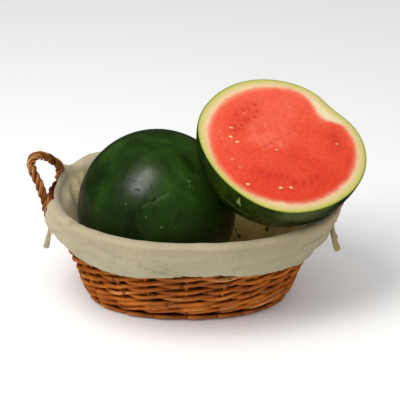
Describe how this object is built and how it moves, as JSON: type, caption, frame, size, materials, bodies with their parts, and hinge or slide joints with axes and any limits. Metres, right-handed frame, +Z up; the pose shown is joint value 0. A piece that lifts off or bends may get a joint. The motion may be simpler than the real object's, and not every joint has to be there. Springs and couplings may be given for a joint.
{
  "type": "watermelons in a lined wicker basket",
  "caption": "Oval woven willow basket with rope handles and a folded-over cloth liner, holding a whole dark green watermelon and a cut half with its red flesh up.",
  "frame": {"origin": "middle of the basket's foot, on the ground", "axes": "+X along the basket's length, towards the half melon; -Y the front; +Z up"},
  "size_m": [0.4639, 0.3312, 0.3055],
  "materials": {
    "willow": "varnished woven willow rods, satin",
    "calico": "plain woven unbleached cotton, matt",
    "rind": "dark green melon rind with faint mottling, waxy satin",
    "cut_melon": "moist red flesh with a pale rind edge, dark green rind below"
  },
  "bodies": {
    "root": {"basket": "willow", "handle_left": "willow", "handle_right": "willow", "liner": "calico", "tie_left": "calico", "tie_right": "calico", "whole_melon": "rind", "half_melon": "cut_melon"}
  },
  "joints": []
}
